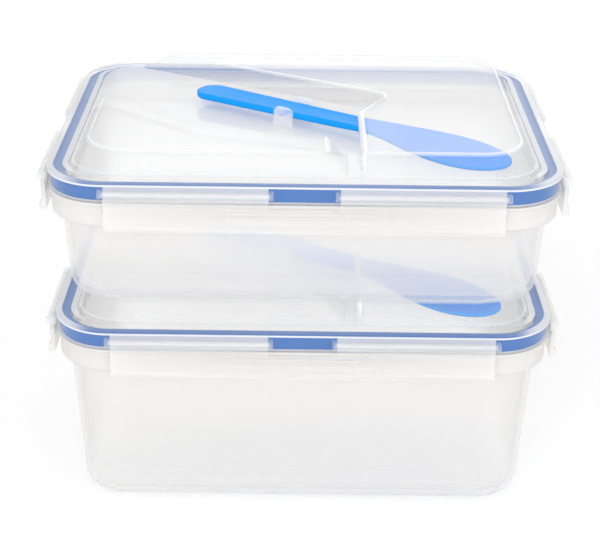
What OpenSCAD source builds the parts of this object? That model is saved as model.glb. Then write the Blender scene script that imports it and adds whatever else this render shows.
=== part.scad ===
// Two-tier lunch box. A shallow container stands on the lid of a deep one.
// Each container has a clear lid with a blue seal, four hinged latches,
// and a raised cover that keeps a spoon in a slanted trough.
// Millimetres. Origin at the centre of the lower base, +Z up, front towards -Y.

/* [Tiers] */
// Height of the lower container, from its base to the top of its seal
lower_h = 90.5; // [70:0.5:140]
// Height of the upper container, from its base to the top of its seal
upper_h = 58; // [45:0.5:110]
// Gap between a lid and the container that stands on it
stack_gap = 0.2; // [0.1:0.05:0.5]

/* [Seal] */
// Width of the seal ring, between the centre lines of its long sides' ends
ring_w = 214; // [170:1:270]
// Depth of the seal ring, between the centre lines of its front and back
ring_d = 165; // [130:1:210]
// Corner radius of the ring's centre line
ring_r = 22; // [18:0.5:30]
// Width of the seal's section
seal_w = 5; // [4:0.1:6]
// Height of the seal's section
seal_h = 7; // [5:0.1:9]
// Depth of the groove that the container's rim enters
seal_groove = 1.5; // [1:0.1:2]
// Side clearance of the seal in its channel
seal_fit = 0.05; // [0.02:0.01:0.1]

/* [Container] */
// Thickness of the container's wall
wall_t = 2; // [1.4:0.1:3]
// Thickness of the container's floor
floor_t = 2.2; // [1.6:0.1:3.5]
// Thickness of the rim that presses into the seal
rim_t = 2.2; // [1.6:0.1:2.6]
// Clearance of the rim in the seal's groove
rim_clear = 0.3; // [0.2:0.05:0.5]
// Height of the thick band under the rim
band_h = 11; // [9:0.5:16]
// How far the body stands in from the band
band_step = 4.5; // [3:0.1:6]
// Slope of the body's walls, in degrees
draft = 3; // [1:0.5:5]
// Radius of the edge around the base
base_edge_r = 13; // [6:0.5:16]

/* [Lid] */
// Thickness of the lid's flat panel
panel_t = 1.5; // [1.2:0.1:2.5]
// Thickness of the skirt outside the seal
skirt_t = 1.4; // [1:0.1:2]
// Thickness of the wall inside the seal
plug_t = 1.6; // [1.2:0.1:2.4]
// How far the inner wall reaches down into the container
plug_drop = 9.5; // [8:0.5:12]

/* [Latches] */
// Distance of the hinge axis from the skirt's outer face
hinge_out = 2.2; // [2:0.1:3]
// Distance of the hinge axis below the seal's top
hinge_drop = 3; // [2.5:0.1:4]
// Radius of the hinge rod on the lid
rod_r = 0.9; // [0.7:0.05:1.1]
// Running clearance of the rod in its barrel
rod_fit = 0.06; // [0.03:0.01:0.09]
// Outer radius of the latch's barrels
barrel_r = 1.7; // [1.6:0.05:1.9]
// Thickness of the latch plate
latch_t = 1.8; // [1.4:0.1:2.4]
// Depth of the latch's lower edge below the seal's top
latch_drop = 19; // [17:0.5:24]
// Width of the window between a latch's two hinge strips
window_w = 30; // [16:1:50]
// Distance from the ring's corner to the end of the front and back latches
front_latch_end = 23; // [20:0.5:34]
// Distance from the ring's corner to the end of the side latches
side_latch_end = 16.5; // [15:0.5:30]
// Thickness of the lugs that carry the rod
lug_t = 1.8; // [1.4:0.1:2.6]
// End play between a barrel and its lugs
end_play = 0.3; // [0.2:0.05:0.5]
// Gap between an unpressed latch's rib and the ledge it catches on
rib_clear = 0.35; // [0.3:0.05:0.6]

/* [Cover] */
// Height of the raised cover above the lid's panel
cover_rise = 9.5; // [7.5:0.1:14]
// Wall of the cover
cover_t = 1.5; // [1.2:0.1:2]
// Thickness of the sheet that lines the trough
liner_t = 0.8; // [0.6:0.1:1.2]
// Width of the liner's flange around the cover's foot
flange_w = 1; // [0.5:0.1:1.5]
// How far the cover's foot stands in from the ring's centre line at the sides
cover_inset_x = 7; // [6:0.5:12]
// How far the cover's foot stands in from the ring's centre line at front and back
cover_inset_y = 5; // [5:0.5:10]
// How far the cover's sides lean in towards the top
cover_lean = 5; // [3:0.5:8]
// Thickness of the frame around the spoon's pocket
frame_t = 3; // [2:0.1:4]
// Turn of the trough in the lid, in degrees
trough_turn = -29; // [-31:0.5:-28]

/* [Spoon] */
// Length of the spoon
spoon_l = 163; // [130:1:200]
// Length of the bowl
bowl_l = 52; // [44:1:60]
// Width of the bowl
bowl_w = 33; // [26:0.5:38]
// Width of the handle at its end
handle_w = 16.8; // [13:0.1:18]
// Width of the handle at its neck
neck_w = 13.2; // [10:0.1:14]
// Thickness of the handle
handle_t = 3; // [2.5:0.1:4]
// Turn of the spoon in the lid, in degrees
spoon_turn = -32.5; // [-33:0.5:-29]
// Clearance of the spoon in its clip
clip_clear = 0.3; // [0.2:0.05:0.5]
// Width of the two clip fingers, along the handle
clip_w = 10; // [6:0.5:12]
// Thickness of the clip fingers
clip_t = 1.4; // [1:0.1:2]

/* [Hidden] */
$fn = 64;
eps = 0.02;
TIERS = ["lower", "upper"];
SIDES = ["front", "back", "left", "right"];

// Distances outward from the ring's centre line
seal_out = seal_w / 2;
channel = seal_out + seal_fit;
skirt_out = channel + skirt_t;
rim_out = rim_t / 2;
band_out = seal_out;
body_out = band_out - band_step;
catch_out = band_out + 1;
plate_in = skirt_out + hinge_out - barrel_r + 0.2;
plate_out = plate_in + latch_t;
hinge_at = skirt_out + hinge_out;
rib_in = catch_out + rib_clear;

// Heights, measured down from the seal's top
rim_drop = seal_h - seal_groove + 0.2;
flange_drop = seal_h + 1;
flange_t = 1.5;
catch_drop = flange_drop + 3.5;
catch_t = 2;
rib_drop = catch_drop + catch_t + 0.5;
rib_t = 2;
rib_end = 6;
band_drop = flange_drop + band_h;
shoulder_t = 2;
window_drop = seal_h + 2;
lip_h = 4;
lip_t = 1.2;

// Heights of the two seal tops above the table
lower_z = lower_h;
upper_base_z = lower_z + panel_t + cover_rise + stack_gap;
upper_z = upper_base_z + upper_h;
function seal_z(tier) = tier == "lower" ? lower_z : upper_z;
function base_z(tier) = tier == "lower" ? 0 : upper_base_z;

// Cover outline, at its foot and at its top
foot_w = ring_w - 2 * cover_inset_x;
foot_d = ring_d - 2 * cover_inset_y;
foot_r = 20;
top_r = 14;
cover_top = panel_t + cover_rise;
half_top_w = foot_w / 2 - cover_lean;
half_top_d = foot_d / 2 - cover_lean;

// The mouth of the spoon's pocket. The trough is laid out from it, along its own slant
// (x, towards the bowl) and across it (y, towards the back). The spoon and its clip are
// laid out from spoon_at in the same way, along the handle.
mouth = [half_top_w - 71.5, 48 - half_top_d];
spoon_at = mouth - [0, 0.7];
mouth_back = 9.5;
mouth_margin = 2;
mouth_lip = 0.4;
mouth_front = 3.5 - half_top_d;
mouth_s = spoon_l - 75.5;
clip_at = -34.5;
trough_end = -5;
trough_back = 34.5;
trough_lean = 3;
far = 150;
front_edge = [[-118, -27], [-91, -33.5], [-60, -39.5], [1, -27.5]];
front_corner = front_edge[3];
notch_w = 13;
notch_foot_w = 4.5;
saddle_l = 3;
nib = 0.9;
nib_flat = 0.3;

// Spoon, with heights above the seal's top
handle_top = cover_top - cover_t - 0.6;
bowl_t = 1.6;
bowl_gap = 0.1;
bowl_foot = panel_t + liner_t + bowl_gap + bowl_t;
tip_lift = 0.6;
tip_sink = handle_top - bowl_foot - tip_lift;
bowl_mid = spoon_l - bowl_l / 2;
neck_s = mouth_s - 2;
tip_rise = 16;
tip_half = 1.2;

// ---------------------------------------------------------------- outlines

module rounded(w, d, r) {
    square([w - 2 * r, d], center = true);
    square([w, d - 2 * r], center = true);
    for (x = [-1, 1], y = [-1, 1])
        translate([x * (w / 2 - r), y * (d / 2 - r)]) circle(r);
}

// The ring's centre line, moved outward by o
module ring_line(o) {
    rounded(ring_w + 2 * o, ring_d + 2 * o, ring_r + o);
}

// A wall that follows the ring between two offsets and two heights
module ring_wall(inner, outer, low, high) {
    translate([0, 0, low]) linear_extrude(high - low) difference() {
        ring_line(outer);
        ring_line(inner);
    }
}

// ---------------------------------------------------------------- the four sides

function is_long(side) = side == "front" || side == "back";
function latch_l(side) = is_long(side) ? ring_w - 2 * front_latch_end : ring_d - 2 * side_latch_end;
function straight_l(side) = (is_long(side) ? ring_w : ring_d) - 2 * ring_r;
function side_at(side) = (is_long(side) ? ring_d : ring_w) / 2;
function side_turn(side) = side == "front" ? 0 : side == "right" ? 90 : side == "back" ? 180 : 270;

// Children are drawn for the front side, with y = 0 on the ring's centre line and -Y outward
module at_side(side, z) {
    rotate([0, 0, side_turn(side)]) translate([0, -side_at(side), z]) children();
}

// ---------------------------------------------------------------- containers

// Body with leaning walls and a round edge at the base. Its top outline is the ring moved by o.
module tub(o, low, high, edge) {
    lean = (high - low) * tan(draft);
    half_w = ring_w / 2 + o - lean;
    half_d = ring_d / 2 + o - lean;
    r = max(ring_r + o - 1, edge + 1);
    hull() {
        translate([0, 0, high - eps]) linear_extrude(eps)
            rounded(ring_w + 2 * o, ring_d + 2 * o, ring_r + o, $fn = 48);
        for (x = [-1, 1], y = [-1, 1])
            translate([x * (half_w - r), y * (half_d - r), low + edge])
                rotate_extrude($fn = 40) translate([r - edge, 0]) intersection() {
                    circle(edge, $fn = 32);
                    translate([0, -edge]) square([edge, edge]);
                }
    }
}

// Straight ledges that the latches' ribs catch on, with their tops at this height
module catches(top) {
    for (side = SIDES) at_side(side, top) {
        l = straight_l(side);
        translate([-l / 2, -catch_out, -catch_t]) cube([l, catch_out, catch_t]);
    }
}

module container(base, seal) {
    shoulder = seal - band_drop;
    color([0.93, 0.93, 0.93, 0.7]) union() {
        difference() {
            union() {
                tub(body_out, base, shoulder + eps, base_edge_r);
                translate([0, 0, shoulder]) linear_extrude(seal - flange_drop - shoulder) ring_line(band_out);
            }
            tub(body_out - wall_t, base + floor_t, shoulder + shoulder_t, base_edge_r - wall_t);
            translate([0, 0, shoulder + shoulder_t - eps]) linear_extrude(band_h) ring_line(-rim_out);
        }
        ring_wall(-rim_out, rim_out, seal - flange_drop - eps, seal - rim_drop);
        ring_wall(0, catch_out, seal - flange_drop - flange_t, seal - flange_drop);
        catches(seal - catch_drop);
    }
}

// ---------------------------------------------------------------- lid

module seal_ring(z) {
    groove = rim_out + rim_clear;
    color([0.36, 0.48, 0.86]) difference() {
        ring_wall(-seal_out, seal_out, z - seal_h, z);
        ring_wall(-groove, groove, z - seal_h - 1, z - seal_h + seal_groove);
    }
}

// A rod between two lugs, for one hinge strip from x0 to x1
module hinge_rod(x0, x1) {
    translate([x0 - end_play - lug_t, -hinge_at, -hinge_drop]) rotate([0, 90, 0])
        cylinder(r = rod_r, h = x1 - x0 + 2 * end_play + 2 * lug_t);
    for (x = [x0 - end_play - lug_t, x1 + end_play])
        translate([x, 0, -hinge_drop]) {
            translate([0, -hinge_at, 0]) rotate([0, 90, 0]) cylinder(r = barrel_r, h = lug_t);
            translate([0, -hinge_at, -barrel_r]) cube([lug_t, hinge_at - channel, 2 * barrel_r]);
        }
}

module lid_panel(z) {
    color([0.94, 0.95, 0.98, 0.5]) union() {
        translate([0, 0, z]) linear_extrude(panel_t) ring_line(skirt_out);
        ring_wall(channel, skirt_out, z - seal_h, z + eps);
        ring_wall(-channel - plug_t, -channel, z - plug_drop, z + eps);
        for (side = SIDES) at_side(side, z) {
            half = latch_l(side) / 2;
            hinge_rod(-half, -window_w / 2);
            hinge_rod(window_w / 2, half);
        }
    }
}

// ---------------------------------------------------------------- latches

// A plate on two hinge strips, with a rib inside and a grip lip along its lower edge
module latch(side, z) {
    l = latch_l(side);
    strip = (l - window_w) / 2;
    rib_l = straight_l(side) - 2 * rib_end;
    color([0.95, 0.96, 0.98, 0.6]) at_side(side, z) difference() {
        union() {
            translate([-l / 2, -plate_out, -latch_drop]) cube([l, latch_t, latch_drop - window_drop]);
            for (x = [-l / 2, window_w / 2]) {
                translate([x, -plate_out, -window_drop - 1])
                    cube([strip, latch_t, window_drop + 1 - hinge_drop]);
                translate([x, -hinge_at, -hinge_drop]) rotate([0, 90, 0]) cylinder(r = barrel_r, h = strip);
            }
            translate([-rib_l / 2, -plate_out + 1, -rib_drop - rib_t])
                cube([rib_l, plate_out - 1 - rib_in, rib_t]);
            translate([-l / 2, -plate_out - lip_t, -latch_drop]) cube([l, lip_t + latch_t, lip_h]);
        }
        translate([-l / 2 - 1, -hinge_at, -hinge_drop]) rotate([0, 90, 0])
            cylinder(r = rod_r + rod_fit, h = l + 2);
    }
}

// ---------------------------------------------------------------- cover

// Solid raised block with leaning sides, shrunk all round by t
module block(t) {
    hull() {
        translate([0, 0, panel_t]) linear_extrude(eps)
            rounded(foot_w - 2 * t, foot_d - 2 * t, foot_r, $fn = 40);
        translate([0, 0, cover_top - t - eps]) linear_extrude(eps)
            rounded(2 * (half_top_w - t), 2 * (half_top_d - t), top_r, $fn = 40);
    }
}

// Cutter that widens upwards from the foot outline to the top outline
module flared(foot, top) {
    hull() {
        translate([0, 0, panel_t - 1]) linear_extrude(eps) polygon(foot);
        translate([0, 0, cover_top + 1]) linear_extrude(eps) polygon(top);
    }
}

// Children are drawn from a point, along and across a line at this turn
module along(point, turn) {
    translate([point[0], point[1], 0]) rotate([0, 0, turn]) children();
}

// Outline of the slanted trough, moved outward by o
function trough_line(o) = concat(
    [[trough_end + o, trough_back + o], [-far, trough_back + o], [-far, front_edge[0][1] - o]],
    [for (p = front_edge) [min(p[0], trough_end + o), p[1] - o]]
);

// Outline of the notch beside the mouth, w wide
function notch_line(w) =
    let (front = -ring_d / 2, left = mouth[0] - w, back = mouth[1] + mouth_back)
    [[left, front], [mouth[0], front], [mouth[0], back], [left, back]];

// A point given along and across the trough, in plan from the mouth
function in_plan(p) = [
    p[0] * cos(trough_turn) - p[1] * sin(trough_turn),
    p[0] * sin(trough_turn) + p[1] * cos(trough_turn)
];

// Outline of the floor where the trough meets the notch
function junction_line(t) = [
    in_plan([trough_end - 1, front_corner[1] - t]), in_plan([front_corner[0], front_corner[1] - t]),
    [-1, in_plan(front_corner)[1] - t], [-1, mouth_back - 1], in_plan([trough_end - 1, 0])
];

// The space of the trough and of the notch beside the pocket, grown by t
module trough(t) {
    along(mouth, trough_turn) flared(trough_line(t - trough_lean / 2), trough_line(t + trough_lean / 2));
    translate([mouth[0], mouth[1], 0]) linear_extrude(cover_top + 1) polygon(junction_line(t));
    flared(notch_line(notch_foot_w + t), notch_line(notch_w + t));
}

// The sheet under the trough, with a thinner edge on its flange
module liner() {
    hull() {
        translate([0, 0, panel_t]) linear_extrude(liner_t / 2)
            rounded(foot_w + 2 * flange_w, foot_d + 2 * flange_w, foot_r + flange_w, $fn = 40);
        translate([0, 0, panel_t]) linear_extrude(liner_t)
            rounded(foot_w + flange_w, foot_d + flange_w, foot_r + flange_w / 2, $fn = 40);
    }
}

// Two fingers with nibs, and a saddle between them, that hold the handle
module clip() {
    half = half_at(mouth_s + clip_at - clip_w / 2) + clip_clear;
    saddle_top = handle_top - handle_t - clip_clear;
    nib_z = handle_top + clip_clear;
    along(spoon_at, spoon_turn) translate([clip_at - clip_w / 2, 0, 0]) {
        for (s = [-1, 1]) {
            translate([0, s * (half + clip_t / 2) - clip_t / 2, panel_t]) cube([clip_w, clip_t, cover_rise]);
            hull() {
                translate([0, s * half - nib, nib_z]) cube([clip_w, 2 * nib, nib_flat]);
                translate([0, s * (half + clip_t / 2) - clip_t / 4, cover_top - nib_flat])
                    cube([clip_w, clip_t / 2, nib_flat]);
            }
        }
        translate([(clip_w - saddle_l) / 2, -half - 0.5, panel_t])
            cube([saddle_l, 2 * half + 1, saddle_top - panel_t]);
    }
}

// The hollow under the raised parts, which stops behind the mouth's frame
module cover_hollow() {
    difference() {
        translate([0, 0, -eps]) block(cover_t);
        trough(cover_t);
        translate([mouth[0] - 1, -ring_d, 0])
            cube([frame_t + 1, ring_d + mouth[1] + mouth_back, 2 * cover_top]);
    }
}

// The way out for the bowl, through the frame and through the trough's end wall
module mouth_opening() {
    back = mouth[1] + mouth_back - mouth_lip;
    h = cover_rise - liner_t - cover_t - mouth_lip;
    translate([mouth[0] - 1, mouth_front, panel_t + liner_t]) cube([frame_t + 2, back - mouth_front, h]);
    along(mouth, trough_turn) translate([trough_end - trough_lean, 0, panel_t + liner_t])
        cube([2 * trough_lean + cover_t + 3, bowl_w / 2 + mouth_margin, h]);
}

module lid_cover(z) {
    color([0.96, 0.96, 0.99, 0.5]) translate([0, 0, z]) {
        difference() {
            union() {
                difference() {
                    block(0);
                    trough(0);
                }
                liner();
            }
            cover_hollow();
            mouth_opening();
        }
        clip();
    }
}

// ---------------------------------------------------------------- spoon

function smooth(t) = let (c = min(1, max(0, t))) c * c * (3 - 2 * c);

// Half width, top height, dish and thickness at a distance s from the handle's end
function half_at(s) =
    let (h = handle_w / 2, n = neck_w / 2)
    s < h ? max(tip_half, sqrt(max(0, h * h - (h - s) * (h - s))))
    : s < neck_s ? h + (n - h) * (s - h) / (neck_s - h)
    : s < bowl_mid ? n + (bowl_w / 2 - n) * smooth((s - neck_s) / (bowl_mid - neck_s))
    : max(tip_half, bowl_w / 2 * sqrt(max(0, 1 - pow((s - bowl_mid) / (spoon_l - bowl_mid), 2))));
function top_at(s) = handle_top - tip_sink * smooth((s - neck_s) / (spoon_l - neck_s));
function dish_at(s) =
    (top_at(s) - bowl_foot) * smooth((s - neck_s - 10) / 26) * smooth((spoon_l - s) / tip_rise);
function thick_at(s) =
    handle_t + (bowl_t - handle_t) * smooth((s - neck_s + 4) / 26);

ACROSS = [-1, -0.9, -0.6, -0.2, 0.2, 0.6, 0.9, 1];
function section(s) =
    let (w = half_at(s), top = top_at(s), dish = dish_at(s), t = thick_at(s))
    concat(
        [for (u = ACROSS) [s, w * u, top - dish * (1 - u * u) - (abs(u) == 1 ? 0.3 * t : 0)]],
        [for (i = [len(ACROSS) - 1:-1:0]) let (u = ACROSS[i])
            [s, w * u, top - dish * (1 - u * u) - t + (abs(u) == 1 ? 0.35 * t : 0)]]
    );

STATIONS = concat(
    [for (i = [0:4]) handle_w / 2 * (1 - cos(90 * i / 4))],
    [for (i = [1:6]) handle_w / 2 + (neck_s - handle_w / 2) * i / 6],
    [for (i = [1:7]) neck_s + (bowl_mid - neck_s) * i / 7],
    [for (i = [1:7]) bowl_mid + (spoon_l - bowl_mid) * sin(90 * i / 7)]
);

module loft(rings) {
    n = len(rings[0]);
    m = len(rings);
    sides = [
        for (i = [0:m - 2], j = [0:n - 1])
            let (a = i * n + j, b = i * n + (j + 1) % n, c = a + n, d = b + n)
            each [[a, c, b], [b, c, d]]
    ];
    first = [for (j = [1:n - 2]) [0, j, j + 1]];
    last = [for (j = [1:n - 2]) [(m - 1) * n, (m - 1) * n + j + 1, (m - 1) * n + j]];
    polyhedron(points = [for (ring = rings) each ring], faces = concat(sides, first, last));
}

module spoon(z) {
    color([0.18, 0.6, 1]) translate([0, 0, z]) along(spoon_at, spoon_turn)
        translate([-mouth_s, 0, 0]) loft([for (s = STATIONS) section(s)]);
}

// ---------------------------------------------------------------- nodes

container(base_z("lower"), seal_z("lower"));  // lower_container
container(base_z("upper"), seal_z("upper"));  // upper_container
for (tier = TIERS) {
    z = seal_z(tier);
    lid_panel(z);
    lid_cover(z);
    seal_ring(z);
    spoon(z);
    for (side = SIDES)
        latch(side, z);
}
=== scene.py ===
import math

import bmesh
import bpy
from mathutils import Matrix, Vector
from mathutils.geometry import tessellate_polygon


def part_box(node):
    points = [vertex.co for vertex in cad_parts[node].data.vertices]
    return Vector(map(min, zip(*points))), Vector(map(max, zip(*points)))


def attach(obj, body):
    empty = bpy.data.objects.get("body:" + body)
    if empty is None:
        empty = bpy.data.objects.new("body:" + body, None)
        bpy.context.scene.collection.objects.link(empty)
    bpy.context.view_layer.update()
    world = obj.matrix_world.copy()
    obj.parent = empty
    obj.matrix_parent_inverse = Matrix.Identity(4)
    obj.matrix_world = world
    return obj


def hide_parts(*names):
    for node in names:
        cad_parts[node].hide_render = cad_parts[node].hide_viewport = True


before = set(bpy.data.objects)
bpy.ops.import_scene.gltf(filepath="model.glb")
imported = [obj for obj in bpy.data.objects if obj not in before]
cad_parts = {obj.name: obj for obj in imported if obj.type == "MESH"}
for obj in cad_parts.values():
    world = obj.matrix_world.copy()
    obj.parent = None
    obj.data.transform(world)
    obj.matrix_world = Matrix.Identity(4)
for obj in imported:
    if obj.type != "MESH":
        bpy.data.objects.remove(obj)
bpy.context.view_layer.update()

# Sizes below are in millimetres, as in the part's source, and become metres in Shape.build
MM = 0.001
TIERS = ("lower", "upper")
SIDES = {"front": 0, "right": 90, "back": 180, "left": 270}

RING_W, RING_D, RING_R = 214.0, 165.0, 22.0
CORNER_STEPS = 16

# Container
BODY_OUT, BAND_OUT, CATCH_OUT, RIM_OUT = -2.0, 2.5, 3.5, 1.1
WALL, FLOOR = 2.0, 2.2
BAND_DROP, FLANGE_DROP, FLANGE_T, RIM_DROP = 19.0, 8.0, 1.5, 5.7
CATCH_DROP, CATCH_T = 11.5, 2.0
SHOULDER_T = 2.0
EDGE_R = 13.0
DRAFT = math.tan(math.radians(3))

# Lid
PANEL_T, SKIRT_OUT, CHANNEL, SEAL_OUT, SEAL_H = 1.5, 3.95, 2.55, 2.5, 7.0
PLUG_IN, PLUG_DROP = 4.15, 9.5
GROOVE, GROOVE_DEPTH = 1.4, 1.5
HINGE_AT, HINGE_DROP, ROD_R, BARREL_R = 6.15, 3.0, 0.9, 1.7
LUG_T, END_PLAY, WINDOW_W = 1.8, 0.3, 30.0

# Latches
PLATE_IN, PLATE_OUT, WINDOW_DROP, LATCH_DROP = 4.65, 6.45, 9.0, 19.0
LIP_T, LIP_H = 1.2, 4.0
RIB_IN, RIB_DROP, RIB_T, RIB_END = 3.85, 14.0, 2.0, 6.0
BORE_R = 0.96
LATCH_SHORT_W, LATCH_SHORT_D = 46.0, 33.0

# Cover
COVER_RISE, COVER_T, LINER_T, FRAME_T = 9.5, 1.5, 0.8, 3.0
FOOT_X, FOOT_Y, LEAN = 100.0, 77.5, 5.0
MOUTH = Vector((23.5, -24.5))
TROUGH_TURN = math.radians(-29)
ALONG = Vector((math.cos(TROUGH_TURN), math.sin(TROUGH_TURN)))
ACROSS = Vector((-math.sin(TROUGH_TURN), math.cos(TROUGH_TURN)))
TROUGH_BACK, TROUGH_END, TROUGH_LEAN = 34.5, -5.0, 3.0
NOTCH_FOOT, NOTCH_TOP = 4.5, 13.0
CLIP_AT, CLIP_W, CLIP_T, CLIP_CLEAR = -34.5, 10.0, 1.4, 0.3

# Spoon
SPOON_AT, SPOON_TURN = MOUTH - Vector((0, 0.7)), math.radians(-32.5)
SPOON_L, BOWL_L, BOWL_W, HANDLE_W, NECK_W, HANDLE_T = 163.0, 52.0, 33.0, 16.8, 13.2, 3.0
HANDLE_TOP = PANEL_T + COVER_RISE - COVER_T - 0.6
MOUTH_S = SPOON_L - 75.5
NECK_S = MOUTH_S - 2
BOWL_MID = SPOON_L - BOWL_L / 2
BOWL_T, TIP_RISE = 1.6, 16
BOWL_FOOT = PANEL_T + LINER_T + 0.1 + BOWL_T
TIP_SINK = HANDLE_TOP - BOWL_FOOT - 0.6
DISH_FROM, DISH_RUN, HOLLOW = 10.0, 26.0, 0.35


# ---------------------------------------------------------------- shapes

def arc(centre, r, start, stop, steps):
    return [
        (centre[0] + r * math.cos(math.radians(start + (stop - start) * i / steps)),
         centre[1] + r * math.sin(math.radians(start + (stop - start) * i / steps)))
        for i in range(steps + 1)
    ]


def round_corner(before, corner, after, r, steps):
    """Points of the arc that replaces a corner."""
    p = Vector(corner)
    a, b = (Vector(before) - p), (Vector(after) - p)
    half = a.angle(b) / 2
    room = 0.49 * min(a.length, b.length)
    cut = min(r / math.tan(half), room)
    r = cut * math.tan(half)
    centre = p + (a.normalized() + b.normalized()).normalized() * (r / math.sin(half))
    first = p + a.normalized() * cut - centre
    last = p + b.normalized() * cut - centre
    turn = math.atan2(first.x * last.y - first.y * last.x, first.dot(last))
    return [tuple(centre + Matrix.Rotation(turn * i / steps, 2) @ first) for i in range(steps + 1)]


def steps_for(r):
    return 3 if r < 1 else 5 if r < 4 else 12


def smooth(t):
    """Eases from 0 to 1."""
    c = min(1.0, max(0.0, t))
    return c * c * (3 - 2 * c)


def filleted(points, closed):
    """A polyline of (x, y, fillet radius), with its corners rounded."""
    n, out = len(points), []
    for i, (x, y, r) in enumerate(points):
        if r == 0 or (not closed and i in (0, n - 1)):
            out.append((x, y))
        else:
            out += round_corner(points[i - 1][:2], (x, y), points[(i + 1) % n][:2], r, steps_for(r))
    return out


def outline(half_w, half_d, r):
    """A rounded rectangle, counter-clockwise."""
    ring = []
    for cx, cy, start in ((1, 1, 0), (-1, 1, 90), (-1, -1, 180), (1, -1, 270)):
        ring += arc((cx * (half_w - r), cy * (half_d - r)), r, start, start + 90, CORNER_STEPS)
    return ring


def ring_outline(o, extra=0.0):
    return outline(RING_W / 2 + o, RING_D / 2 + o, RING_R + o + extra)


def with_stops(line):
    """The same outline, with points added where the hinge strips start and end."""
    out, n = [], len(line)
    for i, (a, b) in enumerate(zip(line, line[1:] + line[:1])):
        out.append(a)
        if (i + 1) % (n // 4):
            continue
        axis = 0 if abs(b[0] - a[0]) > abs(b[1] - a[1]) else 1
        ends = HINGE_ENDS["front" if axis == 0 else "left"]
        stops = [s * (e + d) for s in (-1, 1) for e in ends for d in (-0.3, 0.3)]
        low, high = sorted((a[axis], b[axis]))
        for v in sorted((v for v in stops if low < v < high), reverse=b[axis] < a[axis]):
            out.append((v, a[1]) if axis == 0 else (a[0], v))
    return out


class Shape:
    """Points in millimetres and faces, that become one mesh in metres."""

    def __init__(self):
        self.points, self.faces = [], []

    def add(self, points, faces, matrix=None):
        start = len(self.points)
        self.points += [tuple(matrix @ Vector(p)) if matrix else tuple(p) for p in points]
        self.faces += [[start + i for i in face] for face in faces]
        return self

    def loft(self, rings, closed=False, caps=True, matrix=None):
        n, m = len(rings[0]), len(rings)
        faces = []
        for i in range(m if closed else m - 1):
            for j in range(n):
                a, b = i * n + j, i * n + (j + 1) % n
                c, d = (i + 1) % m * n + j, (i + 1) % m * n + (j + 1) % n
                faces.append((a, b, d, c))
        if caps and not closed:
            faces += [tuple(range(n)), tuple((m - 1) * n + j for j in range(n))]
        return self.add([p for ring in rings for p in ring], faces, matrix)

    def sweep(self, profile, z, closed, extra=None, stops=False):
        """Carries a profile of (offset, height) around the seal's ring."""
        rings = []
        for o, h in profile:
            line = ring_outline(o, extra(h) if extra else 0.0)
            rings.append([(x, y, h + z) for x, y in (with_stops(line) if stops else line)])
        return self.loft(rings, closed=closed)

    def prism(self, loops, x0, x1, matrix):
        """Loops of (y, z), the first one the outside and the others holes, drawn out along x."""
        flat = [p for loop in loops for p in loop]
        n = len(flat)
        faces = []
        caps = tessellate_polygon([[Vector((y, z, 0)) for y, z in loop] for loop in loops])
        for cap in caps:
            faces += [tuple(cap), tuple(n + i for i in cap)]
        start = 0
        for loop in loops:
            k = len(loop)
            for j in range(k):
                a, b = start + j, start + (j + 1) % k
                faces.append((a, b, n + b, n + a))
            start += k
        return self.add([(x, y, z) for x in (x0, x1) for y, z in flat], faces, matrix)

    def box(self, low, high, matrix=None):
        points = [(x, y, z) for x in (low[0], high[0]) for y in (low[1], high[1]) for z in (low[2], high[2])]
        faces = [(0, 1, 3, 2), (4, 6, 7, 5), (0, 4, 5, 1), (2, 3, 7, 6), (0, 2, 6, 4), (1, 5, 7, 3)]
        return self.add(points, faces, matrix)

    def build(self, name, bevel=0.0, smooth=38, segments=2):
        mesh = bpy.data.meshes.new(name)
        mesh.from_pydata([tuple(c * MM for c in p) for p in self.points], [], self.faces)
        grid = bmesh.new()
        grid.from_mesh(mesh)
        bmesh.ops.recalc_face_normals(grid, faces=grid.faces)
        grid.to_mesh(mesh)
        grid.free()
        obj = bpy.data.objects.new(name, mesh)
        bpy.context.scene.collection.objects.link(obj)
        if bevel:
            soften = obj.modifiers.new("soften", "BEVEL")
            soften.width, soften.segments = bevel * MM, segments
            soften.limit_method, soften.angle_limit = "ANGLE", math.radians(40)
            bake(obj)
        finish_normals(obj, smooth)
        return obj


def ring_offset(x, y):
    """How far a point in plan is outside the seal ring's centre line."""
    qx, qy = abs(x) - (RING_W / 2 - RING_R), abs(y) - (RING_D / 2 - RING_R)
    return math.hypot(max(qx, 0), max(qy, 0)) + min(max(qx, qy), 0) - RING_R


def mark_thickness_and_painted_light(obj, share):
    """Stores how milky the plastic is, from how thick it is and, on the lid and the cover, from painted highlights
    and painted light: share(x, y, z) from 0 to 1, in millimetres.
    """
    # The thick attribute carries painted highlights and painted light as well as real thickness
    marks = obj.data.attributes.new("thick", "FLOAT", "POINT")
    values = [share(*(c / MM for c in v.co)) for v in obj.data.vertices]
    marks.data.foreach_set("value", values)
    return obj


def bake(obj):
    """Applies an object's modifiers."""
    bpy.context.view_layer.update()
    mesh = bpy.data.meshes.new_from_object(obj.evaluated_get(bpy.context.evaluated_depsgraph_get()))
    obj.modifiers.clear()
    obj.data = mesh


def finish_normals(obj, smooth):
    obj.data.shade_smooth()
    obj.data.set_sharp_from_angle(angle=math.radians(smooth))
    even = obj.modifiers.new("even", "WEIGHTED_NORMAL")
    even.keep_sharp = True


def side_matrix(side, z):
    """Takes a shape drawn for the front, with y = 0 on the seal's ring, to one of the four sides."""
    away = RING_D / 2 if side in ("front", "back") else RING_W / 2
    return Matrix.Rotation(math.radians(SIDES[side]), 4, "Z") @ Matrix.Translation((0, -away, z))


def straight(side):
    return (RING_W if side in ("front", "back") else RING_D) - 2 * RING_R


def latch_length(side):
    return RING_W - LATCH_SHORT_W if side in ("front", "back") else RING_D - LATCH_SHORT_D


HINGE_ENDS = {side: (WINDOW_W / 2, latch_length(side) / 2) for side in SIDES}


# ---------------------------------------------------------------- pieces

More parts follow.
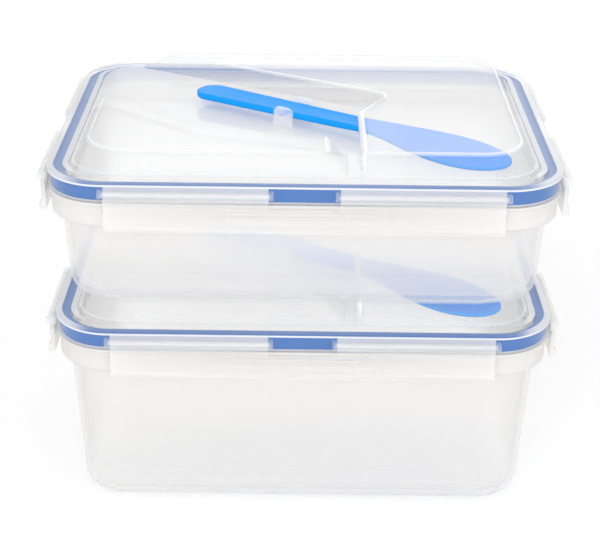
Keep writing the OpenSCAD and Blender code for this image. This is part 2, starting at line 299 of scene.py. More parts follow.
def container(tier, base, seal):
    height = seal - base
    shoulder, flange = height - BAND_DROP, height - FLANGE_DROP
    lean_out = shoulder * DRAFT
    lean_in = (shoulder + SHOULDER_T - FLOOR) * DRAFT
    inner = BODY_OUT - WALL
    foot = BODY_OUT - lean_out - EDGE_R
    profile = filleted([
        (foot - 5.5, 0.8, 0), (foot - 4.2, 0.8, 0.5), (foot - 3.2, 0, 0.5),
        (BODY_OUT - lean_out, 0, EDGE_R),
        (BODY_OUT, shoulder, 1.2), (BAND_OUT, shoulder, 1.2),
        (BAND_OUT, flange - FLANGE_T, 0.3), (CATCH_OUT, flange - FLANGE_T, 0.5), (CATCH_OUT, flange, 0.5),
        (RIM_OUT, flange, 0.5), (RIM_OUT, height - RIM_DROP, 0.5), (-RIM_OUT, height - RIM_DROP, 0.5),
        (-RIM_OUT, shoulder + SHOULDER_T, 1.0), (inner, shoulder + SHOULDER_T, 1.5),
        (inner - lean_in, FLOOR, EDGE_R - WALL), (inner - lean_in - EDGE_R - 2, FLOOR, 0),
    ], closed=False)

    def wider_corner(h):
        share = max(0.0, min(1.0, 1 - (h - EDGE_R) / (shoulder - EDGE_R)))
        return (lean_out - 1) * share

    shape = Shape().sweep(profile, base, closed=False, extra=wider_corner)
    for side in SIDES:
        half = straight(side) / 2
        top = -CATCH_DROP
        section = [(-BAND_OUT + 0.3, top - CATCH_T), (-BAND_OUT + 0.3, top), (-CATCH_OUT, top),
                   (-CATCH_OUT, top - CATCH_T + 0.7), (-BAND_OUT, top - CATCH_T)]
        shape.prism([section], -half, half, side_matrix(side, seal))
    obj = shape.build(f"{tier}_container_tub")
    return mark_thickness_and_painted_light(obj, lambda x, y, z: 1.0 if z > seal - BAND_DROP - 0.1 else 0.0)


# How milky the parts of the lid, the latches and the cover are, from 0 to 1: mostly from how thick they are, while
# the lid's top strips at the sides hold painted light and its edge line a painted highlight
ROD_SHARE, SIDE_TOP_AND_PAINTED_LIGHT_SHARE, SKIRT_EDGE_AND_HIGHLIGHT_SHARE, SKIRT_FOOT_SHARE, HINGE_ROOT_SHARE = 0.25, 0.8, 1.0, 0.5, 0.7
LIP_SHARE, STRIP_SHARE, LATCH_END_SHARE, PLATE_SHARE = 0.42, 0.15, 0.85, 0.07
CLIP_EDGE_SHARE, CLIP_SHARE, COVER_FOOT_SHARE = 0.5, 0.05, 0.5
FRAME_SHARE, ROOF_SHARE, WALL_SHARE = 1.0, 0.42, 0.16


def lid_panel(tier, seal):
    # Points 0.2 to 0.4 apart on a flat run are where the plastic steps from clear to milky
    profile = filleted([
        (-PLUG_IN - 2, PANEL_T, 0), (-5.6, PANEL_T, 0), (-5.2, PANEL_T, 0), (-3.0, PANEL_T, 0),
        (-2.6, PANEL_T, 0), (0.9, PANEL_T, 0), (1.3, PANEL_T, 0), (SKIRT_OUT, PANEL_T, 0.7),
        (SKIRT_OUT, 0.7, 0), (SKIRT_OUT, 0.5, 0),
        (SKIRT_OUT, -0.2, 0), (SKIRT_OUT, -0.4, 0), (SKIRT_OUT, -SEAL_H, 0.5),
        (CHANNEL, -SEAL_H, 0.4), (CHANNEL, 0, 0.3), (-CHANNEL, 0, 0.3), (-CHANNEL, -PLUG_DROP, 0.5),
        (-PLUG_IN, -PLUG_DROP, 0.5), (-PLUG_IN, 0, 1.0), (-PLUG_IN - 2, 0, 0),
    ], closed=False)
    shape = Shape().sweep(profile, seal, closed=False, stops=True)
    lug = arc((-HINGE_AT, -HINGE_DROP), BARREL_R, 90, 270, 10)
    lug = [(-SKIRT_OUT + 0.4, -HINGE_DROP + BARREL_R)] + lug + [(-SKIRT_OUT + 0.4, -HINGE_DROP - BARREL_R)]
    rod = arc((-HINGE_AT, -HINGE_DROP), ROD_R, 0, 345, 23)
    for side in SIDES:
        place, half = side_matrix(side, seal), latch_length(side) / 2
        for x0, x1 in ((-half, -WINDOW_W / 2), (WINDOW_W / 2, half)):
            for x in (x0 - END_PLAY - LUG_T, x1 + END_PLAY):
                shape.prism([lug], x, x + LUG_T, place)
            shape.prism([rod], x0 - END_PLAY - 0.5, x1 + END_PLAY + 0.5, place)
    obj = shape.build(f"{tier}_lid_panel_clear")

    def share(x, y, z):
        o = ring_offset(x, y)
        if o > SKIRT_OUT + 0.05:
            return ROD_SHARE
        if z > seal + 0.6:
            # At the sides the lid's top turns milky white in two strips: the outer one lies over its solid edge; the
            # inner one is painted light that hides the plug's walls, which lie in shade below it
            at_sides = smooth((abs(x) - RING_W / 2 + 16) / 12)
            return SIDE_TOP_AND_PAINTED_LIGHT_SHARE * at_sides if o > 1.2 or -5.5 < o < -2.8 else 0.0
        foot = SKIRT_FOOT_SHARE if z < seal - SEAL_H + 0.3 else 0.0
        if o < SKIRT_OUT - 0.05:
            return foot
        # The milky white line along the lid's outer edge is partly its solid edge and partly a painted highlight
        if z > seal - 0.3:
            return SKIRT_EDGE_AND_HIGHLIGHT_SHARE
        along, ends = (x, HINGE_ENDS["front"]) if abs(y) > RING_D / 2 + 3 else (y, HINGE_ENDS["left"])
        return HINGE_ROOT_SHARE if ends[0] < abs(along) < ends[1] else foot

    return mark_thickness_and_painted_light(obj, share)


def seal_ring(tier, seal):
    top, low = -0.03, -SEAL_H
    profile = filleted([
        (-SEAL_OUT, top, 0.8), (SEAL_OUT, top, 0.8), (SEAL_OUT, low, 0.5), (GROOVE, low, 0.3),
        (GROOVE, low + GROOVE_DEPTH, 0.3), (-GROOVE, low + GROOVE_DEPTH, 0.3), (-GROOVE, low, 0.3),
        (-SEAL_OUT, low, 0.5),
    ], closed=True)
    return Shape().sweep(profile, seal, closed=True).build(f"{tier}_seal_ring")


def latch(tier, side, seal):
    half, place = latch_length(side) / 2, side_matrix(side, seal)
    grip = [(-PLATE_IN, -LATCH_DROP), (-PLATE_IN, -WINDOW_DROP), (-PLATE_OUT, -WINDOW_DROP),
            (-PLATE_OUT, -LATCH_DROP + LIP_H), (-PLATE_OUT - LIP_T, -LATCH_DROP + LIP_H - 1.2),
            (-PLATE_OUT - LIP_T, -LATCH_DROP)]
    inside = -math.degrees(math.acos((HINGE_AT - PLATE_IN) / BARREL_R))
    outside = 360 - math.degrees(math.acos(-(PLATE_OUT - HINGE_AT) / BARREL_R))
    strip = ([(-PLATE_IN, -WINDOW_DROP)] + arc((-HINGE_AT, -HINGE_DROP), BARREL_R, inside, outside, 18)
             + [(-PLATE_OUT, -WINDOW_DROP)])
    bore = arc((-HINGE_AT, -HINGE_DROP), BORE_R, 0, 345, 23)
    xs = (-half, -WINDOW_W / 2, WINDOW_W / 2, half)
    shape = Shape()
    g, s, b = len(grip), len(strip), len(bore)
    points = [(x, y, z) for x in xs for y, z in grip + strip[1:-1] + bore]
    row = g + s - 2 + b
    strip_ids = [1] + list(range(g, g + s - 2)) + [2]
    bore_ids = list(range(g + s - 2, row))
    faces = []
    for i in range(3):
        for j in range(g):
            if j == 1 and i != 1:
                continue
            k = (j + 1) % g
            faces.append((i * row + j, i * row + k, (i + 1) * row + k, (i + 1) * row + j))
    for i in (0, 2):
        for ids, count in ((strip_ids, s - 1), (bore_ids, b)):
            for j in range(count):
                a, c = ids[j], ids[(j + 1) % len(ids)]
                faces.append((i * row + a, i * row + c, (i + 1) * row + c, (i + 1) * row + a))
    for i in (0, 3):
        faces.append(tuple(i * row + j for j in range(g)))
    ends = tessellate_polygon([[Vector((y, z, 0)) for y, z in strip], [Vector((y, z, 0)) for y, z in bore]])
    ids = strip_ids + bore_ids
    for i in range(4):
        faces += [tuple(i * row + ids[j] for j in cap) for cap in ends]
    shape.add(points, faces, place)
    rib = straight(side) / 2 - RIB_END
    shape.prism([[(-PLATE_IN - 0.3, -RIB_DROP - RIB_T), (-PLATE_IN - 0.3, -RIB_DROP), (-RIB_IN, -RIB_DROP),
                  (-RIB_IN, -RIB_DROP - 1.2), (-PLATE_IN, -RIB_DROP - RIB_T)]], -rib, rib, place)
    obj = shape.build(f"{tier}_latch_{side}_plate", bevel=0.22)

    def share(x, y, z):
        depth = seal - z
        if depth > LATCH_DROP - 0.4:
            return LIP_SHARE
        if depth < WINDOW_DROP - 0.2:
            return STRIP_SHARE
        along = x if side in ("front", "back") else y
        return LATCH_END_SHARE if abs(along) > half - 0.5 else PLATE_SHARE

    return mark_thickness_and_painted_light(obj, share)


# ---------------------------------------------------------------- cover

def at(along, across):
    return MOUTH + along * ALONG + across * ACROSS


def island_ring(edges, t, inset, thick=False):
    """Outline of a raised part. Each edge is (point, direction, lean, wall, corner radius at its start)."""
    lines = []
    for point, direction, lean, wall, _ in edges:
        d = Vector(direction).normalized()
        inward = Vector((-d.y, d.x))
        lines.append((Vector(point) + inward * (lean * t + inset + (wall if thick else 0)), d))
    n, corners = len(lines), []
    for i in range(n):
        (p, d), (q, e) = lines[i - 1], lines[i]
        cross = d.x * e.y - d.y * e.x
        s = ((q.x - p.x) * e.y - (q.y - p.y) * e.x) / cross
        corners.append((p + d * s, cross > 0))
    ring = []
    for i in range(n):
        corner, convex = corners[i]
        shrink = inset + (COVER_T if thick else 0)
        r = edges[i][4]
        r = max(r - shrink, 0.4) if convex else max(r + shrink, 0.4)
        before, after = corners[i - 1][0], corners[(i + 1) % n][0]
        ring += round_corner(before, corner, after, r, 14 if edges[i][4] > 10 else 8)
    return ring


seg3 = (at(-60, -39.5), at(1, -27.5))
seg1 = (at(-118, -27), at(-60, -39.5))
POCKET = [
    ((MOUTH.x, -FOOT_Y), (1, 0), LEAN, COVER_T, 2.5),
    ((FOOT_X, -FOOT_Y), (0, 1), LEAN, COVER_T, 20),
    ((FOOT_X, FOOT_Y), (-1, 0), LEAN, COVER_T, 20),
    (at(0, TROUGH_BACK - TROUGH_LEAN / 2), ALONG, TROUGH_LEAN, COVER_T, 3),
    (at(TROUGH_END - TROUGH_LEAN / 2, 0), -ACROSS, TROUGH_LEAN, COVER_T, 6),
    ((MOUTH.x, 0), (0, -1), 0, FRAME_T, 3),
]
STEP = [
    ((-FOOT_X, -FOOT_Y), (1, 0), LEAN, COVER_T, 20),
    ((MOUTH.x - NOTCH_FOOT, -FOOT_Y), (0, 1), NOTCH_TOP - NOTCH_FOOT, COVER_T, 3.5),
    (seg3[1] + ACROSS * 1.5, seg3[0] - seg3[1], TROUGH_LEAN, COVER_T, 4),
    (seg1[1] + ACROSS * 1.5, seg1[0] - seg1[1], TROUGH_LEAN, COVER_T, 12),
    ((-FOOT_X, 0), (0, -1), LEAN, COVER_T, 6),
]
ROUND_TOP, ROUND_IN, FLARE = 2.4, 1.1, 0.6


def add_island(shape, edges, path, thick=False):
    """Lofts one skin of a raised part up a path of (inset, height) and closes it at the top.
    Gives the index of its first point and its lowest ring."""
    rings = [[(x, y, z) for x, y in island_ring(edges, (z - PANEL_T) / COVER_RISE, inset, thick)]
             for inset, z in path]
    start, n, m = len(shape.points), len(rings[0]), len(rings)
    faces = [(i * n + j, i * n + (j + 1) % n, (i + 1) * n + (j + 1) % n, (i + 1) * n + j)
             for i in range(m - 1) for j in range(n)]
    faces.append(tuple((m - 1) * n + j for j in range(n)))
    shape.add([p for ring in rings for p in ring], faces)
    return start, rings[0]


def quarter(r, steps):
    """Sine and cosine parts of a quarter turn, times a radius."""
    turns = [math.radians(90 * i / steps) for i in range(steps + 1)]
    return [(r * math.sin(a), r * math.cos(a)) for a in turns]


def lid_cover(tier, seal):
    floor_z, top, under = PANEL_T + LINER_T, PANEL_T + COVER_RISE, PANEL_T + 0.06
    roof = top - COVER_T
    shape = Shape()

    foot = [(s - FLARE, floor_z + FLARE - c) for s, c in quarter(FLARE, 3)]
    shoulder = [(ROUND_TOP - c, top - ROUND_TOP + s) for s, c in quarter(ROUND_TOP, 6)]
    outside = foot + shoulder + [(ROUND_TOP + 1.2, top)]
    inside = [(0, under)] + [(ROUND_IN - c, roof - ROUND_IN + s) for s, c in quarter(ROUND_IN, 3)]
    inner_heights = [z for _, z in inside[:-1]]
    outer_loops, inner_loops = [], []
    for edges in (POCKET, STEP):
        outer_loops.append(add_island(shape, edges, outside))
        inner_loops.append(add_island(shape, edges, inside, thick=True))

    edge = [(1.0, under), (1.0, under + 0.35), (0.5, floor_z - 0.05), (0.35, floor_z)]
    rings = [[(x, y, z) for x, y in outline(FOOT_X + o, FOOT_Y + o, 20 + o)] for o, z in edge]
    start, n = len(shape.points), len(rings[0])
    shape.loft(rings, caps=False)
    for ring, first, loops in ((rings[-1], start + 3 * n, outer_loops), (rings[0], start, inner_loops)):
        ids = list(range(first, first + n))
        polygons = [[Vector(p) for p in ring]]
        for offset, loop in loops:
            ids += range(offset, offset + len(loop))
            polygons.append([Vector(p) for p in loop])
        shape.faces += [[ids[i] for i in cap] for cap in tessellate_polygon(polygons)]
    lift = Matrix.Translation((0, 0, seal))
    shape.points = [tuple(lift @ Vector(p)) for p in shape.points]
    obj = shape.build(f"{tier}_lid_cover_clear")
    obj.modifiers.clear()

    turn = lift @ Matrix.Translation((*MOUTH, 0)) @ Matrix.Rotation(TROUGH_TURN, 4, "Z")
    opening_top = PANEL_T + COVER_RISE - COVER_T - 0.4
    cutters = [
        Shape().box((MOUTH.x - 1.5, -69, floor_z + 0.05), (MOUTH.x + 4.5, -15.4, opening_top), lift),
        Shape().box((TROUGH_END - TROUGH_LEAN - 1, 0.5, floor_z + 0.06), (2.5, 20, opening_top - 0.05), turn),
    ]
    for i, cutter in enumerate(cutters):
        tool = cutter.build(f"cutter_{tier}_{i}", bevel=1.2, segments=3)
        cut = obj.modifiers.new("cut", "BOOLEAN")
        cut.operation, cut.solver, cut.object = "DIFFERENCE", "EXACT", tool
        bake(obj)
        bpy.data.objects.remove(tool)

    clip = Shape()
    turn = spoon_matrix(seal)
    half = spoon_half(MOUTH_S + CLIP_AT - CLIP_W / 2) + CLIP_CLEAR
    for s in (-1, 1):
        inside, outside = s * half, s * (half + CLIP_T)
        y0, y1 = sorted((inside, outside))
        profile = filleted([
            (-CLIP_W / 2 - 0.8, floor_z - 0.1, 0), (CLIP_W / 2 + 0.8, floor_z - 0.1, 0),
            (CLIP_W / 2, floor_z + 1.4, 1.2), (CLIP_W / 2, top, 2.6),
            (-CLIP_W / 2, top, 2.6), (-CLIP_W / 2, floor_z + 1.4, 1.2),
        ], closed=True)
        clip.loft([[(x + CLIP_AT, y, z) for x, z in profile] for y in (y0, y1)], matrix=turn)
        nib = [(inside + s * 0.2, HANDLE_TOP + CLIP_CLEAR), (inside - s * 0.9, HANDLE_TOP + CLIP_CLEAR + 0.1),
               (inside - s * 0.9, HANDLE_TOP + CLIP_CLEAR + 0.6), (inside + s * 0.2, top - 0.1)]
        clip.prism([nib], CLIP_AT - CLIP_W / 2 + 1.8, CLIP_AT + CLIP_W / 2 - 1.8, turn)
    saddle_top = HANDLE_TOP - HANDLE_T - CLIP_CLEAR
    clip.box((CLIP_AT - 1.5, -half - 0.4, floor_z - 0.1), (CLIP_AT + 1.5, half + 0.4, saddle_top), turn)
    fingers = clip.build(f"{tier}_clip", bevel=0.3)
    fingers.modifiers.clear()
    join(obj, fingers)
    drop_slivers(obj)
    finish_normals(obj, 38)

    from_clip = turn.inverted()

    def share(x, y, z):
        height = z - seal
        near = from_clip @ Vector((x, y, z))
        if abs(near.x - CLIP_AT) < CLIP_W / 2 + 1 and abs(near.y) < half + CLIP_T + 0.1:
            at_edge = abs(near.x - CLIP_AT) > CLIP_W / 2 - 0.5 or height > top - 0.5
            return CLIP_EDGE_SHARE if at_edge else CLIP_SHARE
        in_round = height > top - ROUND_TOP - 0.01
        if in_round and MOUTH.x - 0.2 < x < MOUTH.x + ROUND_TOP + 0.1 and y < -16:
            return FRAME_SHARE
        if abs(height - roof) < 0.05:
            return ROOF_SHARE
        if any(abs(height - inner) < 0.03 for inner in inner_heights):
            return WALL_SHARE
        # Milky white rising to the upper part of each rounded top edge, and stopping at the flat top, is a painted
        # highlight along the cover's edges
        if in_round:
            rise = (height - top + ROUND_TOP) / ROUND_TOP
            return max(0.0, (rise - 0.6) / 0.37) ** 1.5 if rise < 0.99 else 0.0
        return COVER_FOOT_SHARE if floor_z - 0.02 < height < floor_z + 0.1 else 0.0

    return mark_thickness_and_painted_light(obj, share)


def drop_slivers(obj, size=0.004):
    """Closes the slivers that a cut leaves, in millimetres."""
    grid = bmesh.new()
    grid.from_mesh(obj.data)
    bmesh.ops.remove_doubles(grid, verts=grid.verts, dist=size * MM)
    bmesh.ops.dissolve_degenerate(grid, edges=grid.edges, dist=size * MM)
    grid.to_mesh(obj.data)
    grid.free()


def join(obj, other):
    grid = bmesh.new()
    grid.from_mesh(obj.data)
    grid.from_mesh(other.data)
    grid.to_mesh(obj.data)
    grid.free()
    bpy.data.objects.remove(other)


# ---------------------------------------------------------------- spoon

def spoon_matrix(seal):
    """Takes a shape drawn along and across the handle to its place over the lid."""
    return Matrix.Translation((*SPOON_AT, seal)) @ Matrix.Rotation(SPOON_TURN, 4, "Z")


def spoon_half(s):
    """Half width of the spoon at a distance from its handle's end."""
    h, n = HANDLE_W / 2, NECK_W / 2
    if s < h:
        return math.sqrt(h * h - (h - s) ** 2)
    if s < NECK_S:
        return h + (n - h) * (s - h) / (NECK_S - h)
    if s < BOWL_MID:
        return n + (BOWL_W / 2 - n) * smooth((s - NECK_S) / (BOWL_MID - NECK_S))
    return BOWL_W / 2 * math.sqrt(max(0.0, 1 - ((s - BOWL_MID) / (SPOON_L - BOWL_MID)) ** 2))


def spoon(tier, seal):
    h = HANDLE_W / 2
    across = [math.sin(math.radians(a)) for a in range(-90, 91, 9)]
    stations = [h * (1 - math.cos(math.radians(a))) for a in range(3, 91, 8)]
    stations += [h + (NECK_S - h) * i / 18 for i in range(1, 19)]
    stations += [NECK_S + (BOWL_MID - NECK_S) * i / 18 for i in range(1, 19)]
    stations += [BOWL_MID + (SPOON_L - BOWL_MID) * math.sin(math.radians(a)) for a in range(6, 88, 5)]
    rings = []
    for s in stations:
        w = spoon_half(s)
        top = HANDLE_TOP - TIP_SINK * smooth((s - NECK_S) / (SPOON_L - NECK_S))
        dish = (top - BOWL_FOOT) * smooth((s - NECK_S - DISH_FROM) / DISH_RUN)
        dish *= smooth((SPOON_L - s) / TIP_RISE)
        groove = HOLLOW * smooth((s - 5) / 6) * smooth((NECK_S + 20 - s) / 22)
        t = HANDLE_T + (BOWL_T - HANDLE_T) * smooth((s - NECK_S + 4) / DISH_RUN)
        edge = min(s, SPOON_L - s)
        soft = min(1.1, 0.45 * t)
        if edge < soft:
            t_here = 1 - math.sqrt(max(0.0, 1 - (1 - edge / soft) ** 2))
        else:
            t_here = 0.0
        upper, lower = [], []
        for u in across:
            y = w * u
            near = max(0.0, abs(y) - (w - soft)) / soft if w > soft else abs(u)
            drop = soft * (1 - math.sqrt(max(0.0, 1 - min(1.0, near) ** 2)))
            drop = max(drop, soft * t_here)
            middle = top - dish * (1 - u * u)
            hollow = groove * max(0.0, 1 - (u / 0.72) ** 4)
            upper.append((s - MOUTH_S, y, middle - drop - hollow))
            lower.append((s - MOUTH_S, y, middle - t + drop))
        rings.append(upper + lower[::-1])
    return Shape().loft(rings, matrix=spoon_matrix(seal)).build(f"{tier}_spoon_body", smooth=50)


# ---------------------------------------------------------------- materials

def node(tree, kind, x, y, **inputs):
    n = tree.nodes.new(kind)
    n.location = (x, y)
    for key, value in inputs.items():
        n.inputs[key.replace("_", " ")].default_value = value
    return n


def place_group(tree, group, x, y, **inputs):
    n = tree.nodes.new("ShaderNodeGroup")
    n.node_tree = group
    n.location = (x, y)
    for key, value in inputs.items():
        n.inputs[key.replace("_", " ")].default_value = value
    return n


def new_group(name, inputs, outputs):
    """A node group of plain number sockets, with its input and output nodes."""
    group = bpy.data.node_groups.new(name, "ShaderNodeTree")
    for label, value in inputs.items():
        socket = group.interface.new_socket(label, in_out="INPUT", socket_type="NodeSocketFloat")
        socket.default_value = value
    for label in outputs:
        group.interface.new_socket(label, in_out="OUTPUT", socket_type="NodeSocketFloat")
    return group, node(group, "NodeGroupInput", -800, 0), node(group, "NodeGroupOutput", 400, 0)


def grain_group():
    """Fine moulded texture: a height and a roughness that change over the surface."""
    group, into, out = new_group("moulded_grain", {"Scale": 900.0, "Low": 0.3, "High": 0.4}, ["Height", "Roughness"])
    place = node(group, "ShaderNodeTexCoord", -800, -300)
    fine = node(group, "ShaderNodeTexNoise", -400, 100, Detail=3.0, Roughness=0.6)
    broad = node(group, "ShaderNodeTexNoise", -400, -200, Scale=28.0, Detail=4.0, Roughness=0.55)
    spread = node(group, "ShaderNodeMapRange", 0, -200, From_Min=0.3, From_Max=0.7)
    link = group.links.new
    link(place.outputs["Object"], fine.inputs["Vector"])
    link(place.outputs["Object"], broad.inputs["Vector"])
    link(into.outputs["Scale"], fine.inputs["Scale"])
    link(broad.outputs["Fac"], spread.inputs["Value"])
    link(into.outputs["Low"], spread.inputs["To Min"])
    link(into.outputs["High"], spread.inputs["To Max"])
    link(fine.outputs["Fac"], out.inputs["Height"])
    link(spread.outputs["Result"], out.inputs["Roughness"])
    return group


# Milky plastic scatters most light onward, so it dims what is behind it less than it hides it
SHADOW_SHARE = 0.25


def clearness_group():
    """How solid a see-through plastic looks: clearest face on, milkier at a slant and where its thick mark is high,
    which is thick plastic and, on the lid and the cover, painted highlights and painted light.
    A lamp's ray meets only SHADOW_SHARE of that."""
    inputs = {"Facing": 0.0, "Thick": 0.0, "Shadow Ray": 0.0,
              "Face On": 0.1, "Slanted": 0.5, "Power": 1.7, "Where Thick": 0.85}
    group, into, out = new_group("milky_clearness", inputs, ["Alpha"])
    power = node(group, "ShaderNodeMath", -600, 200)
    power.operation = "POWER"
    spread = node(group, "ShaderNodeMapRange", -400, 200)
    milky = node(group, "ShaderNodeMapRange", -200, 100)
    through = node(group, "ShaderNodeMapRange", -200, -300, To_Min=1.0, To_Max=SHADOW_SHARE)
    cover = node(group, "ShaderNodeMath", 100, 0)
    cover.operation = "MULTIPLY"
    link = group.links.new
    link(into.outputs["Facing"], power.inputs[0])
    link(into.outputs["Power"], power.inputs[1])
    link(power.outputs["Value"], spread.inputs["Value"])
    link(into.outputs["Face On"], spread.inputs["To Min"])
    link(into.outputs["Slanted"], spread.inputs["To Max"])
    link(into.outputs["Thick"], milky.inputs["Value"])
    link(spread.outputs["Result"], milky.inputs["To Min"])
    link(into.outputs["Where Thick"], milky.inputs["To Max"])
    link(into.outputs["Shadow Ray"], through.inputs["Value"])
    link(milky.outputs["Result"], cover.inputs[0])
    link(through.outputs["Result"], cover.inputs[1])
    link(cover.outputs["Value"], out.inputs["Alpha"])
    return group


GRAIN, CLEARNESS = grain_group(), clearness_group()


def plastic(name, colour, rough, scale, bump, alpha=None, deep=None, gloss=0.5):
    """A moulded plastic. alpha is (face on, slanted, power, where thick), for one that light passes through, its
    where-thick value also used at painted highlights and painted light on the lid and the cover; deep is its colour
    where it is thick."""
    mat = bpy.data.materials.new(name)
    mat.use_nodes = True
    tree = mat.node_tree
    shader = tree.nodes["Principled BSDF"]
    shader.inputs["Base Color"].default_value = (*colour, 1)
    shader.inputs["IOR"].default_value = 1.49
    shader.inputs["Specular IOR Level"].default_value = gloss
    grain = place_group(tree, GRAIN, -600, -100, Scale=scale, Low=rough[0], High=rough[1])
    relief = node(tree, "ShaderNodeBump", -300, -300, Strength=bump, Distance=0.0002)
    tree.links.new(grain.outputs["Height"], relief.inputs["Height"])
    tree.links.new(relief.outputs["Normal"], shader.inputs["Normal"])
    tree.links.new(grain.outputs["Roughness"], shader.inputs["Roughness"])
    if alpha:
        weight = node(tree, "ShaderNodeLayerWeight", -800, 300, Blend=0.5)
        # The thick mark read here holds real thickness and, on the lid and the cover, painted highlights and painted
        # light, where the plastic turns milky white
        thick = node(tree, "ShaderNodeAttribute", -800, 500)
        thick.attribute_name = "thick"
        rays = node(tree, "ShaderNodeLightPath", -800, 800)
        clearness = place_group(tree, CLEARNESS, -400, 400, Face_On=alpha[0], Slanted=alpha[1],
                                Power=alpha[2], Where_Thick=alpha[3])
        tree.links.new(weight.outputs["Facing"], clearness.inputs["Facing"])
        tree.links.new(thick.outputs["Fac"], clearness.inputs["Thick"])
        tree.links.new(rays.outputs["Is Shadow Ray"], clearness.inputs["Shadow Ray"])
        tree.links.new(clearness.outputs["Alpha"], shader.inputs["Alpha"])
        if deep:
            tint = tree.nodes.new("ShaderNodeMix")
            tint.data_type = "RGBA"
            tint.location = (-400, 1000)
            tint.inputs[6].default_value = (*colour, 1)
            tint.inputs[7].default_value = (*deep, 1)
            tree.links.new(thick.outputs["Fac"], tint.inputs["Factor"])
            tree.links.new(tint.outputs[2], shader.inputs["Base Color"])
    return mat


FROSTED = plastic("frosted_body", (0.97, 0.96, 0.955), (0.34, 0.46), 500, 0.03, alpha=(0.15, 0.50, 1.7, 0.85),
                  deep=(0.885, 0.868, 0.848))
CLEAR = plastic("clear_lid", (0.97, 0.97, 0.97), (0.06, 0.12), 60, 0.004, alpha=(0.02, 0.42, 3.0, 0.85))
COVER = plastic("clear_cover", (0.98, 0.98, 0.985), (0.06, 0.14), 60, 0.004, alpha=(0.02, 0.10, 1.7, 0.85))
LATCH = plastic("clear_latch", (0.92, 0.915, 0.91), (0.14, 0.24), 60, 0.004, alpha=(0.08, 0.35, 1.4, 0.80))
SEAL = plastic("blue_seal", (0.06, 0.19, 0.52), (0.42, 0.55), 1800, 0.12)
SPOON = plastic("blue_spoon", (0.003, 0.365, 1.0), (0.40, 0.52), 1200, 0.06, gloss=0.2)


def dress(obj, material, body, slot_name, *nodes):
    obj.data.materials.clear()
    obj.data.materials.append(material)
    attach(obj, body)
    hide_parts(*nodes)


for tier in TIERS:
    seal_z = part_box(f"{tier}_seal")[1].z / MM
    base_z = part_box(f"{tier}_container")[0].z / MM
    dress(container(tier, base_z, seal_z), FROSTED, f"{tier}_container", "frosted_body", f"{tier}_container")
    dress(lid_panel(tier, seal_z), CLEAR, f"{tier}_lid", "clear_lid", f"{tier}_lid_panel")
    dress(lid_cover(tier, seal_z), COVER, f"{tier}_lid", "clear_cover", f"{tier}_lid_cover")
    dress(seal_ring(tier, seal_z), SEAL, f"{tier}_lid", "blue_seal", f"{tier}_seal")
    dress(spoon(tier, seal_z), SPOON, f"{tier}_spoon", "blue_spoon", f"{tier}_spoon")
    for side in SIDES:
        name = f"{tier}_latch_{side}"
        dress(latch(tier, side, seal_z), LATCH, name, "clear_latch", name)


# ---------------------------------------------------------------- stage, light and camera

WORLD_LEVEL, FLOOR_LIFT = 0.68, 0.17
PLAIN_FROM, PLAIN_TO = 0.4, 0.9


def white_for_view(tree, plain, white, rays):
    """Mixes a plain shader with a white one that only the named rays see."""
    path = node(tree, "ShaderNodeLightPath", -600, 300)
    total = path.outputs[rays[0]]
    for i, ray in enumerate(rays[1:]):
        add = node(tree, "ShaderNodeMath", -400, 300 - 150 * i)
        add.operation = "MAXIMUM"
        tree.links.new(total, add.inputs[0])
        tree.links.new(path.outputs[ray], add.inputs[1])
        total = add.outputs["Value"]
    mix = node(tree, "ShaderNodeMixShader", 0, 0)
    tree.links.new(total, mix.inputs["Fac"])
    tree.links.new(plain, mix.inputs[1])
    tree.links.new(white, mix.inputs[2])
    return mix.outputs["Shader"]


world = bpy.data.worlds.new("studio")
bpy.context.scene.world = world
world.use_nodes = True
tree = world.node_tree
tree.nodes.clear()
dim = node(tree, "ShaderNodeBackground", -200, 100, Color=(1, 1, 1, 1), Strength=WORLD_LEVEL)
bright = node(tree, "ShaderNodeBackground", -200, -100, Color=(1, 1, 1, 1), Strength=1.0)
out = node(tree, "ShaderNodeOutputWorld", 200, 0)
tree.links.new(
    white_for_view(tree, dim.outputs["Background"], bright.outputs["Background"],
                   ["Is Camera Ray", "Is Glossy Ray", "Is Transmission Ray"]),
    out.inputs["Surface"],
)

floor = Shape().add([(-4000, -4000, -0.05), (4000, -4000, -0.05), (4000, 4000, -0.05), (-4000, 4000, -0.05)],
                    [(0, 1, 2, 3)]).build("floor")
floor.modifiers.clear()
table = bpy.data.materials.new("floor_white")
table.use_nodes = True
tree = table.node_tree
surface = tree.nodes["Principled BSDF"]
surface.inputs["Base Color"].default_value = (0.93, 0.93, 0.93, 1)
surface.inputs["Roughness"].default_value = 0.8
surface.inputs["Specular IOR Level"].default_value = 0.1
surface.inputs["Emission Color"].default_value = (1, 1, 1, 1)
path = node(tree, "ShaderNodeLightPath", -700, 0)
lift = node(tree, "ShaderNodeMath", -400, 0)
lift.operation = "MULTIPLY"
lift.inputs[1].default_value = FLOOR_LIFT
tree.links.new(path.outputs["Is Camera Ray"], lift.inputs[0])
tree.links.new(lift.outputs["Value"], surface.inputs["Emission Strength"])
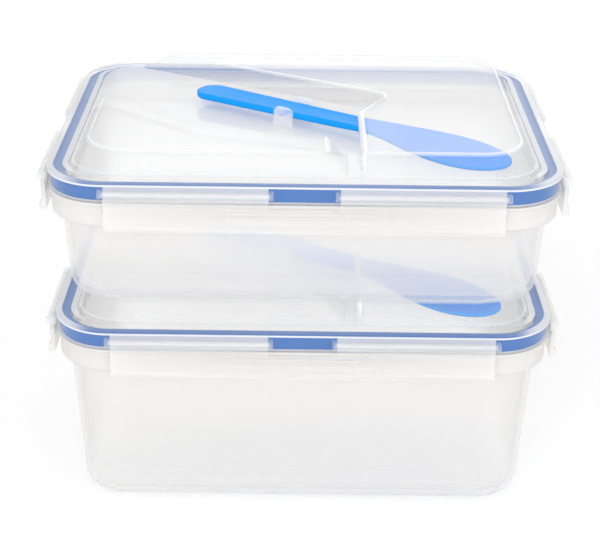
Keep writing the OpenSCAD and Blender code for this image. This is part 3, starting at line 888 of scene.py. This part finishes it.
# Away from the lamps the floor turns to a plain white, so that no edge shows behind the boxes
place = node(tree, "ShaderNodeTexCoord", -1100, 500)
distance = node(tree, "ShaderNodeVectorMath", -900, 500)
distance.operation = "LENGTH"
far = node(tree, "ShaderNodeMapRange", -700, 500)
far.interpolation_type = "SMOOTHSTEP"
far.inputs["From Min"].default_value, far.inputs["From Max"].default_value = PLAIN_FROM, PLAIN_TO
seen = node(tree, "ShaderNodeMath", -400, 400)
seen.operation = "MULTIPLY"
white = node(tree, "ShaderNodeEmission", 0, -200, Color=(1, 1, 1, 1), Strength=1.0)
mix = node(tree, "ShaderNodeMixShader", 300, 200)
tree.links.new(place.outputs["Object"], distance.inputs[0])
tree.links.new(distance.outputs["Value"], far.inputs["Value"])
tree.links.new(far.outputs["Result"], seen.inputs[0])
tree.links.new(path.outputs["Is Camera Ray"], seen.inputs[1])
tree.links.new(seen.outputs["Value"], mix.inputs["Fac"])
tree.links.new(surface.outputs["BSDF"], mix.inputs[1])
tree.links.new(white.outputs["Emission"], mix.inputs[2])
tree.links.new(mix.outputs["Shader"], tree.nodes["Material Output"].inputs["Surface"])
floor.data.materials.append(table)


def lamp(name, place, aim, size, power):
    data = bpy.data.lights.new(name, "AREA")
    data.shape, data.size, data.energy = "SQUARE", size, power
    obj = bpy.data.objects.new(name, data)
    obj.location = place
    obj.rotation_euler = (Vector(aim) - Vector(place)).to_track_quat("-Z", "Y").to_euler()
    bpy.context.scene.collection.objects.link(obj)


lamp("key", (-0.5, -1.2, 0.9), (0, 0, 0.08), 1.0, 7.0)
lamp("fill", (1.0, -0.9, 0.5), (0, 0, 0.08), 1.0, 3.5)
lamp("rim", (0.2, 1.1, 0.8), (0, 0, 0.1), 1.0, 2.5)

CAMERA_AT = (-0.0016, -0.6563, 0.3861)
PITCH, ROLL, LENS = 24.83, 0.71, 88.62
camera_data = bpy.data.cameras.new("camera")
camera_data.lens, camera_data.sensor_width = LENS, 36
camera_data.sensor_fit = "HORIZONTAL"
camera = bpy.data.objects.new("camera", camera_data)
camera.matrix_world = (
    Matrix.Translation(CAMERA_AT)
    @ Matrix.Rotation(math.radians(90 - PITCH), 4, "X")
    @ Matrix.Rotation(math.radians(ROLL), 4, "Z")
)
scene = bpy.context.scene
scene.collection.objects.link(camera)
scene.camera = camera
scene.view_settings.view_transform = "Standard"
scene.cycles.transparent_max_bounces = 40
scene.cycles.max_bounces = 16
